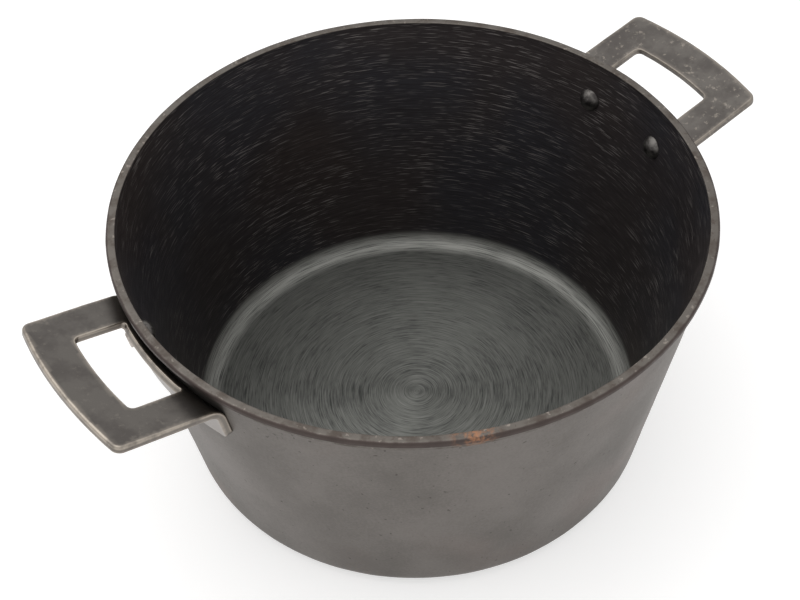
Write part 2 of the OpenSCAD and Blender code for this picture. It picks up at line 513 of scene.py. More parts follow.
def turning_tree() -> bpy.types.NodeTree:
    """Builds the tree that turns an outline about Z into a closed shape.

    The outline is a chain of points in the XZ plane that starts and ends on the axis. Each
    point has a zone and a sway, which is how far the finished surface may wander there.

    Returns:
        The tree, with inputs for the number of steps, the wander's scale and its seed.
    """
    tree, bench, given, out = geometry_tree("turn_outline")
    add_input(tree, "Steps", "Int", 96)
    add_input(tree, "Wander Scale", "Float", 60.0)
    add_input(tree, "Seed", "Float", 0.0)
    outline = given.outputs["Outline"]

    size = bench.add("GeometryNodeAttributeDomainSize", component="MESH")
    bench.feed(size.inputs[0], outline)
    points = size.outputs["Point Count"]
    grid = bench.add("GeometryNodeMeshGrid")
    bench.feed(grid.inputs["Vertices X"], bench.math("ADD", given.outputs["Steps"], 1.0))
    bench.feed(grid.inputs["Vertices Y"], points)

    index = bench.add("GeometryNodeInputIndex").outputs[0]
    step = bench.math("FLOOR", bench.math("DIVIDE", bench.math("ADD", index, 0.5), points))
    row = bench.math("SUBTRACT", index, bench.math("MULTIPLY", step, points))

    def at_row(kind: str, value: bpy.types.NodeSocket) -> bpy.types.NodeSocket:
        """Reads a value of the outline at this vertex's row."""
        sample = bench.add("GeometryNodeSampleIndex", data_type=kind, domain="POINT")
        bench.feed(sample.inputs["Geometry"], outline)
        bench.feed(sample.inputs["Value"], value)
        bench.feed(sample.inputs["Index"], row)
        return sample.outputs[0]

    def named(name: str) -> bpy.types.NodeSocket:
        """Reads a named number of the mesh at hand."""
        node = bench.add("GeometryNodeInputNamedAttribute", data_type="FLOAT")
        node.inputs["Name"].default_value = name
        return node.outputs[0]

    def keep(mesh: bpy.types.NodeSocket, name: str, value, domain: str = "POINT") -> bpy.types.NodeSocket:
        """Stores a number on the mesh under a name."""
        node = bench.add("GeometryNodeStoreNamedAttribute", data_type="FLOAT", domain=domain)
        bench.feed(node.inputs["Geometry"], mesh)
        node.inputs["Name"].default_value = name
        bench.feed(node.inputs["Value"], value)
        return node.outputs[0]

    across, _, up = bench.split(at_row("FLOAT_VECTOR", bench.add("GeometryNodeInputPosition").outputs[0]))
    turn = bench.math("MULTIPLY", bench.math("DIVIDE", step, given.outputs["Steps"]), math.tau)
    place = bench.vector(
        bench.math("MULTIPLY", across, bench.math("COSINE", turn)),
        bench.math("MULTIPLY", across, bench.math("SINE", turn)),
        up,
    )
    mesh = keep(grid.outputs["Mesh"], "zone", at_row("FLOAT", named("zone")))
    mesh = keep(mesh, "sway", at_row("FLOAT", named("sway")))
    # Row of each face, so that a finish can start at a row
    face_rows = bench.math("SUBTRACT", points, 1.0)
    face_step = bench.math("FLOOR", bench.math("DIVIDE", bench.math("ADD", index, 0.5), face_rows))
    face_row = bench.math("SUBTRACT", index, bench.math("MULTIPLY", face_step, face_rows))
    mesh = keep(mesh, "face_row", face_row, "FACE")
    shaped = bench.add("GeometryNodeSetPosition")
    bench.feed(shaped.inputs["Geometry"], mesh)
    bench.feed(shaped.inputs["Position"], place)
    joined = bench.add("GeometryNodeMergeByDistance")
    bench.feed(joined.inputs["Geometry"], shaped.outputs[0])
    bench.feed(joined.inputs["Distance"], 0.000004)

    position = bench.add("GeometryNodeInputPosition").outputs[0]
    wander = bench.math("SUBTRACT", bench.noise(position, given.outputs["Wander Scale"], 2.0, 0.5, given.outputs["Seed"]), 0.5)
    scale = bench.add("ShaderNodeVectorMath", operation="SCALE")
    bench.feed(scale.inputs[0], bench.add("GeometryNodeInputNormal").outputs[0])
    bench.feed(scale.inputs["Scale"], bench.math("MULTIPLY", bench.math("MULTIPLY", wander, 4.0), named("sway")))
    uneven = bench.add("GeometryNodeSetPosition")
    bench.feed(uneven.inputs["Geometry"], joined.outputs[0])
    bench.feed(uneven.inputs["Offset"], scale.outputs[0])
    smooth = bench.add("GeometryNodeSetShadeSmooth")
    bench.feed(smooth.inputs[0], uneven.outputs[0])
    bench.feed(out.inputs[0], smooth.outputs[0])
    return tree


def run_tree(name: str, outline: bpy.types.Mesh, tree: bpy.types.NodeTree, values: dict) -> bpy.types.Object:
    """Runs a geometry tree on an outline and keeps the result as a plain mesh.

    Args:
        name: name of the finished piece.
        outline: the outline mesh.
        tree: the tree to run.
        values: value of each of the tree's inputs, by the input's name.

    Returns:
        The finished object, with no modifier.
    """
    piece = bpy.data.objects.new(name, outline)
    bpy.context.scene.collection.objects.link(piece)
    modifier = piece.modifiers.new("shape", "NODES")
    modifier.node_group = tree
    for item in tree.interface.items_tree:
        if item.item_type == "SOCKET" and item.in_out == "INPUT" and item.name in values:
            modifier[item.identifier] = values[item.name]
    graph = bpy.context.evaluated_depsgraph_get()
    mesh = bpy.data.meshes.new_from_object(piece.evaluated_get(graph), depsgraph=graph)
    piece.modifiers.clear()
    piece.data = mesh
    mesh.name = name
    bpy.data.meshes.remove(outline)
    return piece


def point_outwards(mesh: bpy.types.Mesh) -> None:
    """Turns a closed mesh's faces round if they point inwards.

    Args:
        mesh: the mesh.
    """
    mesh.calc_loop_triangles()
    co = np.empty(len(mesh.vertices) * 3)
    mesh.vertices.foreach_get("co", co)
    co = co.reshape(-1, 3)
    corners = np.empty(len(mesh.loop_triangles) * 3, dtype=np.int64)
    mesh.loop_triangles.foreach_get("vertices", corners)
    a, b, c = (co[corners[k::3]] for k in range(3))
    if np.einsum("ij,ij->i", a, np.cross(b, c)).sum() < 0:
        mesh.flip_normals()


def chain_mesh(name: str, points: Sequence[tuple[float, float, float, float]]) -> bpy.types.Mesh:
    """Makes an outline mesh for the turning tree.

    Args:
        name: the mesh's name.
        points: radius, height, zone and sway of each point, lengths in millimetres.

    Returns:
        A chain of edges in the XZ plane with its zone and sway on the points.
    """
    mesh = bpy.data.meshes.new(name)
    places = [(p[0] * MM, 0.0, p[1] * MM) for p in points]
    mesh.from_pydata(places, [(i, i + 1) for i in range(len(points) - 1)], [])
    for column, attribute in ((2, "zone"), (3, "sway")):
        values = [p[column] * (MM if attribute == "sway" else 1.0) for p in points]
        mesh.attributes.new(attribute, "FLOAT", "POINT").data.foreach_set("value", values)
    return mesh


def arc(cx: float, cz: float, radius: float, start: float, end: float, steps: int) -> list[tuple[float, float]]:
    """Points of an arc.

    Args:
        cx: first coordinate of its centre.
        cz: second coordinate of its centre.
        radius: its radius.
        start: angle of the first point, in degrees.
        end: angle of the last point.
        steps: how many steps lie between them.

    Returns:
        The points, both ends included.
    """
    angles = [math.radians(start + (end - start) * i / steps) for i in range(steps + 1)]
    return [(cx + radius * math.cos(a), cz + radius * math.sin(a)) for a in angles]


def line(start: tuple[float, float], end: tuple[float, float], steps: int) -> list[tuple[float, float]]:
    """Points of a straight line, both ends left out.

    Args:
        start: where it starts.
        end: where it ends.
        steps: how many steps lie between them.

    Returns:
        The inner points.
    """
    return [tuple(s + (e - s) * i / steps for s, e in zip(start, end)) for i in range(1, steps)]


@dataclass
class Pot:
    """The casting: a tapering bowl, turned inside, with a ground rim that stands out a little."""

    rim_diameter: float = 250.0
    height: float = 125.0
    rim_flat: float = 2.6
    rim_lip: float = 2.1
    rim_band: float = 2.4
    rim_round: float = 1.2
    base_diameter: float = 205.4
    base_fillet: float = 10.5
    floor: float = 4.4
    floor_diameter: float = 197.2
    floor_fillet: float = 6.0
    crisp: float = 0.35
    steps: int = 480

    @property
    def rim_radius(self) -> float:
        """Outer radius of the rim."""
        return self.rim_diameter / 2

    @property
    def wall_top(self) -> tuple[float, float]:
        """Radius and height where the outer wall meets the rim."""
        return self.rim_radius - self.rim_lip, self.height - self.rim_band - self.rim_lip / 2

    @property
    def outer_slope(self) -> float:
        """Growth of the outer wall's radius for each millimetre of height."""
        radius, height = self.wall_top
        return (radius - self.base_diameter / 2) / height

    @property
    def mouth_radius(self) -> float:
        """Radius of the rim's inner edge."""
        return self.rim_radius - self.rim_round - self.rim_flat

    @property
    def inner_slope(self) -> float:
        """Growth of the turned wall's radius for each millimetre of height."""
        return (self.mouth_radius - self.floor_diameter / 2) / (self.height - self.floor)

    def outer_radius(self, height):
        """Radius of the outer wall at a height, or at an array of heights."""
        return self.base_diameter / 2 + height * self.outer_slope

    def inner_radius(self, height: float) -> float:
        """Radius of the turned wall at a height."""
        return self.floor_diameter / 2 + (height - self.floor) * self.inner_slope

    def corner_arc(self, corner: float, level: float, slope: float, radius: float) -> list[tuple[float, float]]:
        """Fillet between a level face and a wall that leans outwards.

        Args:
            corner: radius where face and wall would meet.
            level: height of the face.
            slope: the wall's slope.
            radius: radius of the fillet.

        Returns:
            Its points, from the face to the wall.
        """
        lean = math.degrees(math.atan(slope))
        centre = corner - radius * math.tan(math.radians((90 - lean) / 2))
        return arc(centre, level + radius, radius, -90, -lean, 14)

    def outline(self) -> tuple[list[tuple[float, float, float, float]], dict[Zone, int]]:
        """Half section of the pot, from the middle of the underside round to the middle of the floor.

        Returns:
            The points for chain_mesh, and the row at which each zone starts.
        """
        outer, inner = math.degrees(math.atan(self.outer_slope)), math.degrees(math.atan(self.inner_slope))
        foot = self.corner_arc(self.base_diameter / 2, 0.0, self.outer_slope, self.base_fillet)
        inside_foot = self.corner_arc(self.floor_diameter / 2, self.floor, self.inner_slope, self.floor_fillet)
        inside_foot.reverse()
        top = self.wall_top
        lip = (self.rim_radius, self.height - self.rim_band)
        outside = [(0.0, 0.0)] + line((0.0, 0.0), foot[0], 7) + foot + line(foot[-1], top, 32)
        # Lip: a small hollow under it, a crisp lower edge, the worn outer edge and the ground face
        c = self.crisp
        rim = [(top[0] - 0.05, top[1] - 0.5), (top[0] + 0.08, top[1] - 0.08), (top[0] + 0.5, top[1] + 0.26)]
        rim += arc(lip[0] - c, lip[1] + c * 0.6, c, -60, 0, 4) + line(lip, (lip[0], self.height - self.rim_round), 3)
        rim += arc(self.rim_radius - self.rim_round, self.height - self.rim_round, self.rim_round, 0, 90, 8)
        rim += line((self.rim_radius - self.rim_round, self.height), (self.mouth_radius + c, self.height), 5)
        rim += arc(self.mouth_radius + c, self.height - c, c, 90, 180 + inner, 5)
        inside = line(rim[-1], inside_foot[0], 34) + inside_foot
        inside += line(inside_foot[-1], (0.0, self.floor), 32) + [(0.0, self.floor)]
        sway = {Zone.OUTSIDE: 0.10, Zone.RIM: 0.09, Zone.INSIDE: 0.03}
        rows: list[tuple[float, float, float, float]] = []
        starts: dict[Zone, int] = {}
        for zone, part in zip(Zone, (outside, rim, inside)):
            starts[zone] = max(len(rows) - 1, 0)
            # The axis and the flat underside stay true
            rows += [(r, z, float(zone.value), sway[zone] if r > 1 and z > 0.2 else 0.0) for r, z in part]
        log.debug("leans %.2f and %.2f degrees, %d rows", outer, inner, len(rows))
        return rows, starts

    def tree(self, turning: bpy.types.NodeTree) -> bpy.types.NodeTree:
        """Builds the tree that turns the pot and gives each zone its finish.

        Args:
            turning: the tree that turns an outline.

        Returns:
            The tree, with its sizes and finishes as named inputs.
        """
        tree, bench, given, out = geometry_tree("turned_pot")
        for name, kind, value in (
            ("Steps", "Int", 96), ("Wander Scale", "Float", 60.0), ("Seed", "Float", 0.0),
            ("Rim Row", "Int", 0), ("Inside Row", "Int", 0),
            ("Outside Finish", "Material", None), ("Rim Finish", "Material", None), ("Inside Finish", "Material", None),
        ):
            add_input(tree, name, kind, value)
        turned = bench.add("GeometryNodeGroup", node_tree=turning)
        for name in ("Outline", "Steps", "Wander Scale", "Seed"):
            bench.feed(turned.inputs[name], given.outputs[name])
        real = bench.add("GeometryNodeRealizeInstances")
        bench.feed(real.inputs[0], turned.outputs[0])
        mesh = real.outputs[0]
        row = bench.add("GeometryNodeInputNamedAttribute", data_type="FLOAT")
        row.inputs["Name"].default_value = "face_row"
        for finish, start in (("Outside Finish", None), ("Rim Finish", "Rim Row"), ("Inside Finish", "Inside Row")):
            dress = bench.add("GeometryNodeSetMaterial")
            bench.feed(dress.inputs["Geometry"], mesh)
            if start:
                reached = bench.add("FunctionNodeCompare", data_type="FLOAT", operation="GREATER_THAN")
                bench.feed(reached.inputs[0], row.outputs[0])
                bench.feed(reached.inputs[1], bench.math("SUBTRACT", given.outputs[start], 0.5))
                bench.feed(dress.inputs["Selection"], reached.outputs[0])
            bench.feed(dress.inputs["Material"], given.outputs[finish])
            mesh = dress.outputs[0]
        bench.feed(out.inputs[0], mesh)
        return tree

    def build(self, turning: bpy.types.NodeTree, finishes: dict[Zone, Finish]) -> bpy.types.Object:
        """Makes the pot.

        Args:
            turning: the tree that turns an outline.
            finishes: finish of each zone.

        Returns:
            The piece, which stands for the CAD node.
        """
        rows, starts = self.outline()
        piece = run_tree("turned_casting", chain_mesh("pot_outline", rows), self.tree(turning), {
            "Steps": self.steps,
            "Wander Scale": 55.0,
            "Seed": 3.7,
            "Rim Row": starts[Zone.RIM],
            "Inside Row": starts[Zone.INSIDE],
            "Outside Finish": finishes[Zone.OUTSIDE].material(),
            "Rim Finish": finishes[Zone.RIM].material(),
            "Inside Finish": finishes[Zone.INSIDE].material(),
        })
        for name in ("face_row", "sway"):
            piece.data.attributes.remove(piece.data.attributes[name])
        point_outwards(piece.data)
        return piece


@dataclass
class Handle:
    """A handle: a plate with a window, bent down into a flange that lies against the wall.

    It is cut flat as a blank, its edges are worn round, and it is then bent. On the blank the
    first coordinate is the distance from the pot's axis along the plate, and the second is the
    distance from the handle's middle.
    """

    pot: Pot
    side: Side
    width: float = 76.2
    reach: float = 38.7
    thickness: float = 3.2
    tilt: float = 12.7
    drop: float = 8.3
    end_arc: float = 186.0
    corner: float = 4.0
    window_width: float = 44.0
    window_reach: float = 22.0
    window_arc: float = 149.0
    window_corner: float = 2.6
    window_gap: float = 0.3
    bend: float = 8.0
    flange_drop: float = 26.3
    edge_round: float = 0.55
    outer_wear: float = 0.45
    spacing: float = 0.55
    seed: float = 0.0

    def bend_over(self, along: np.ndarray, across: np.ndarray, depth: np.ndarray) -> np.ndarray:
        """Bends points of the blank to their places on the pot.

        Args:
            along: distance of each point from the pot's axis, along the blank.
            across: distance from the handle's middle.
            depth: depth below the top face.

        Returns:
            The points of the right handle, in millimetres.
        """
        tilt = math.radians(self.tilt)
        rise = math.tan(tilt)
        rim, level = self.pot.rim_radius, self.pot.height - self.drop
        # Where plate and wall would meet, at each distance from the middle
        x = np.full_like(across, 115.0)
        for _ in range(12):
            z = level + (x - rim) * rise
            wall = self.pot.outer_radius(z)
            x = np.sqrt(wall ** 2 - across ** 2)
        low_z = self.pot.height - self.flange_drop
        low_x = np.sqrt(self.pot.outer_radius(low_z) ** 2 - across ** 2)
        length = np.hypot(low_x - x, low_z - z)
        down = np.stack([(low_x - x) / length, (low_z - z) / length])
        turn = np.arccos(-down[0] * math.cos(tilt) - down[1] * math.sin(tilt))
        tangent = self.bend * np.tan(turn / 2)
        start_x, start_z = x + tangent * math.cos(tilt), z + tangent * math.sin(tilt)
        start = rim + (start_x - rim) / math.cos(tilt)
        centre_x, centre_z = start_x + self.bend * math.sin(tilt), start_z - self.bend * math.cos(tilt)
        # Plate, bend and flange in turn
        past = np.clip(start - along, 0.0, None)
        angle = np.minimum(past / self.bend, turn)
        further = past - angle * self.bend
        out = np.clip(along - start, 0.0, None)
        normal_x, normal_z = -np.sin(tilt + angle), np.cos(tilt + angle)
        top_x = centre_x + self.bend * normal_x + out * math.cos(tilt) + further * down[0]
        top_z = centre_z + self.bend * normal_z + out * math.sin(tilt) + further * down[1]
        # The flange follows the round wall, so it is thicker along X away from the middle
        thick = 1 + (wall / x - 1) * angle / turn
        return np.stack([top_x - depth * thick * normal_x, across, top_z - depth * thick * normal_z], axis=1)

    def foot(self, across: float) -> float:
        """Distance along the blank of the flange's lower edge, at a distance from the middle."""
        low, high = 60.0, 125.0
        edge = self.pot.height - self.flange_drop
        for _ in range(40):
            middle = (low + high) / 2
            reached = self.bend_over(np.array([middle]), np.array([across]), np.zeros(1))[0, 2]
            low, high = (middle, high) if reached < edge else (low, middle)
        return (low + high) / 2

    @staticmethod
    def arc_ended(width: float, tip: float, end_arc: float, corner: float) -> list[tuple[float, float]]:
        """Outer end of a strip: an arc with two rounded corners, from the back corner to the front one.

        Args:
            width: width of the strip.
            tip: distance of the arc's middle along the blank.
            end_arc: radius of the arc.
            corner: radius of the corners.

        Returns:
            Its points, from positive to negative across.
        """
        middle = tip - end_arc
        side = width / 2 - corner
        inset = middle + math.sqrt((end_arc - corner) ** 2 - side ** 2)
        reach = math.degrees(math.atan2(side, inset - middle))
        return (
            arc(inset, side, corner, 90, reach, 10)
            + arc(middle, 0.0, end_arc, reach, -reach, 60)[1:-1]
            + arc(inset, -side, corner, -reach, -90, 10)
        )

    def outer_edge(self) -> list[tuple[float, float]]:
        """Closed outer edge of the blank."""
        half, nick = self.width / 2, 1.4
        points = self.arc_ended(self.width, self.pot.rim_radius + self.reach, self.end_arc, self.corner)
        foot = self.foot(half)
        points += arc(foot + nick, nick - half, nick, 270, 180, 4)
        points += [(self.foot(y), float(y)) for y in np.linspace(nick - half, half - nick, 40)[1:-1]]
        return points + arc(foot + nick, half - nick, nick, 180, 90, 4)

    def window_edge(self) -> list[tuple[float, float]]:
        """Closed edge of the window in the blank, whose inner side runs parallel to the wall."""
        half, nick = self.window_width / 2, 1.4
        inner = self.pot.rim_radius + self.window_gap
        points = self.arc_ended(
            self.window_width, self.pot.rim_radius + self.window_reach, self.window_arc, self.window_corner
        )
        side = math.sqrt(inner ** 2 - half ** 2)
        points += arc(side + nick, nick - half, nick, 270, 180, 5)
        points += [
            (math.sqrt(inner ** 2 - y ** 2), float(y)) for y in np.linspace(nick - half, half - nick, 30)[1:-1]
        ]
        return points + arc(side + nick, half - nick, nick, 180, 90, 5)

    def evenly(self, points: Sequence[tuple[float, float]]) -> np.ndarray:
        """Spreads points evenly along a closed edge.

        Args:
            points: corners of the edge.

        Returns:
            Points about one spacing apart, as rows.
        """
        corners = np.array([*points, points[0]])
        travelled = np.r_[0, np.cumsum(np.hypot(*np.diff(corners, axis=0).T))]
        wanted = np.linspace(0, travelled[-1], int(travelled[-1] / self.spacing) + 1)[:-1]
        return np.stack([np.interp(wanted, travelled, corners[:, k]) for k in (0, 1)], axis=1)

    @staticmethod
    def inside(points: np.ndarray, edge: np.ndarray) -> np.ndarray:
        """Which points lie inside a closed edge."""
        x, y = points[:, :1], points[:, 1:]
        a, b = edge, np.roll(edge, -1, axis=0)
        spans = (a[:, 1] > y) != (b[:, 1] > y)
        rise = np.where(b[:, 1] == a[:, 1], 1e-12, b[:, 1] - a[:, 1])
        crossing = a[:, 0] + (y - a[:, 1]) / rise * (b[:, 0] - a[:, 0])
        return (spans & (x < crossing)).sum(axis=1) % 2 == 1

    @staticmethod
    def into_metal(edge: np.ndarray, hole: bool) -> np.ndarray:
        """Unit vectors from each point of a closed edge into the metal.

        Args:
            edge: the edge's points.
            hole: whether the metal lies outside the edge.

        Returns:
            One unit vector for each point.
        """
        step = np.roll(edge, -1, axis=0) - np.roll(edge, 1, axis=0)
        normal = np.stack([-step[:, 1], step[:, 0]], axis=1) / np.hypot(*step.T)[:, None]
        ahead = np.roll(edge, -1, axis=0)
        turned = (edge[:, 0] * ahead[:, 1] - ahead[:, 0] * edge[:, 1]).sum() > 0
        return normal if turned != hole else -normal

    def rings(self, edge: np.ndarray, hole: bool) -> list[tuple[np.ndarray, np.ndarray, float]]:
        """Rings of points that carry the worn edge from the top face round to the underside.

        Args:
            edge: the edge's points.
            hole: whether the edge is the window's.

        Returns:
            For each ring its points on the blank, their depths and how much edge wear and painted highlight it takes.
        """
        inward = self.into_metal(edge, hole)
        # The plate's outer end is handled most, so its edge is worn rounder
        end = np.clip((edge[:, 0] - self.pot.rim_radius - 12.0) / 20.0, 0.0, 1.0)
        ripple = np.array([noise.noise(Vector((x * 0.22, y * 0.22, self.seed))) for x, y in edge])
        top = self.edge_round + (0.0 if hole else self.outer_wear) * end + 0.10 * ripple
        low = np.full(len(edge), self.edge_round * 0.8)
        found = [(edge + inward * (top + 0.25)[:, None], np.zeros(len(edge)), 0.35)]
        for k in range(6):
            a = math.pi / 2 * k / 5
            found.append((edge + inward * (top * (1 - math.sin(a)))[:, None], top * (1 - math.cos(a)), 1.0))
        for share in (0.34, 0.67):
            found.append((edge.copy(), top + (self.thickness - top - low) * share, 0.3))
        for k in range(5):
            a = math.pi / 2 * k / 4
            found.append((edge + inward * (low * (1 - math.cos(a)))[:, None], self.thickness - low * (1 - math.sin(a)), 0.6))
        flat = np.full(len(edge), self.thickness)
        return [*found, (edge + inward * (low + 0.25)[:, None], flat, 0.15)]

    def fill(self, outer: np.ndarray, window: np.ndarray) -> tuple[np.ndarray, np.ndarray]:
        """Fills the face between the outer edge and the window with small triangles.

        Args:
            outer: innermost ring of the outer edge.
            window: outermost ring of the window.

        Returns:
            The new points inside, and triangles over outer, window and new points in that order.
        """
        low, high = outer.min(axis=0), outer.max(axis=0)
        # Rows lie closer together where the blank is bent
        rows, at = [], low[0]
        while at < high[0]:
            at += 0.8 if 105 < at < 129 else 1.4
            rows.append(at)
        dots = [
            (row, low[1] + (k + 0.5 * (i % 2)) * 1.4)
            for i, row in enumerate(rows)
            for k in range(int((high[1] - low[1]) / 1.4) + 1)
        ]
        dots = np.array(dots)
        dots = dots[self.inside(dots, outer) & ~self.inside(dots, window)]
        ring = np.concatenate([outer, window])
        gap = np.array([np.hypot(*(ring - d).T).min() for d in dots])
        dots = dots[gap > 0.55]
        points = np.concatenate([outer, window, dots])
        n, m = len(outer), len(window)
        edges = [(i, (i + 1) % n) for i in range(n)] + [(n + i, n + (i + 1) % m) for i in range(m)]
        result = geometry.delaunay_2d_cdt([Vector(p) for p in points], edges, [], 0, 1e-7)
        if len(result[0]) != len(points):
            raise ValueError("the handle's face needed points that its rings don't have")
        order = np.array([origin[0] for origin in result[3]])
        triangles = order[np.array(result[2])]
        middles = points[triangles].mean(axis=1)
        return dots, triangles[self.inside(middles, outer) & ~self.inside(middles, window)]

    def mesh(self) -> bpy.types.Mesh:
        """Builds the handle's closed mesh in place.

        Returns:
            The mesh, with the amounts of edge wear and painted edge highlight, and of painted underside light, on its
            points.
        """
        blank: list[np.ndarray] = []
        depths: list[np.ndarray] = []
        worn: list[np.ndarray] = []
        faces: list[tuple[int, ...]] = []
        total = 0

        def put(points: np.ndarray, depth: np.ndarray, wear: float) -> int:
            """Adds points and returns the index of the first."""
            nonlocal total
            blank.append(points)
            depths.append(depth)
            worn.append(np.full(len(points), wear))
            total += len(points)
            return total - len(points)

        first_rings, last_rings, ring_edges = [], [], []
        for points, hole in ((self.outer_edge(), False), (self.window_edge(), True)):
            edge = self.evenly(points)
            n = len(edge)
            layers = self.rings(edge, hole)
            starts = [put(*layer) for layer in layers]
            for a, b in zip(starts, starts[1:]):
                quads = [(a + i, a + (i + 1) % n, b + (i + 1) % n, b + i) for i in range(n)]
                faces += [q[::-1] for q in quads] if hole else quads
            first_rings.append((starts[0], n))
            last_rings.append((starts[-1], n))
            ring_edges.append(layers[0][0])
        dots, triangles = self.fill(ring_edges[0], ring_edges[1])
        for rings, depth, flip in ((first_rings, 0.0, False), (last_rings, self.thickness, True)):
            start = put(dots, np.full(len(dots), depth), 0.0)
            numbers = np.concatenate([np.arange(s, s + n) for s, n in rings] + [np.arange(start, start + len(dots))])
            filled = numbers[triangles]
            faces += [tuple(int(v) for v in (f[::-1] if flip else f)) for f in filled]
        flat, depth = np.concatenate(blank), np.concatenate(depths)
        places = self.bend_over(flat[:, 0], flat[:, 1], depth)
        lower = self.bend_over(flat[:, 0], flat[:, 1], depth + 1.0)
        outward = (places - lower) / np.linalg.norm(places - lower, axis=1)[:, None]
        places += outward * self.wander(places)[:, None]
        turn = math.radians(self.side.value)
        cosine, sine = round(math.cos(turn)), round(math.sin(turn))
        places[:, :2] = places[:, :2] @ np.array([[cosine, sine], [-sine, cosine]])

        mesh = bpy.data.meshes.new(f"{self.side.name.lower()}_handle_plate")
        mesh.from_pydata((places * MM).tolist(), [], self.facing(flat, faces))
        # Share of painted floor light on the underside, rising over the lowest quarter of the thickness
        below = np.clip(depth / self.thickness * 4 - 3, 0, 1)
        for name, values in (("worn", np.concatenate(worn)), ("below", below)):
            mesh.attributes.new(name, "FLOAT", "POINT").data.foreach_set("value", values)
        mesh.shade_smooth()
        point_outwards(mesh)
        return mesh

    def facing(self, flat: np.ndarray, faces: list[tuple[int, ...]]) -> list[tuple[int, ...]]:
        """Gives the filled faces the same turn as the rings' quads, so that one flip suits them all.

        Args:
            flat: the points on the blank.
            faces: quads of the rings, then triangles of the top and of the underside.

        Returns:
            The faces, all turned one way.
        """
        def turned(face: tuple[int, ...]) -> bool:
            """Whether a triangle runs counter-clockwise on the blank."""
            (ax, ay), (bx, by), (cx, cy) = flat[list(face[:3])]
            return (bx - ax) * (cy - ay) - (cx - ax) * (by - ay) > 0

        # The first quad joins the two outermost top rings, so it lies in the top face
        wanted = turned(faces[0])
        count = sum(len(f) == 4 for f in faces)
        half = (len(faces) - count) // 2
        top = [f if turned(f) == wanted else f[::-1] for f in faces[count:count + half]]
        painted_underside_light = [f if turned(f) != wanted else f[::-1] for f in faces[count + half:]]
        return faces[:count] + top + painted_underside_light

    def wander(self, places: np.ndarray) -> np.ndarray:
        """How far the surface stands off true at each point, in millimetres."""
        return np.array([
            0.07 * noise.noise(Vector(p) * 0.11 + Vector((self.seed, 0, 0)))
            + 0.03 * noise.noise(Vector(p) * 0.35 + Vector((0, self.seed, 0)))
            for p in places
        ])

    def build(self, finish: Finish) -> bpy.types.Object:
        """Makes the handle.

        Args:
            finish: its finish.

        Returns:
            The piece, which stands for the CAD node.
        """
        mesh = self.mesh()
        mesh.materials.append(finish.material())
        piece = bpy.data.objects.new(mesh.name, mesh)
        bpy.context.scene.collection.objects.link(piece)
        return piece


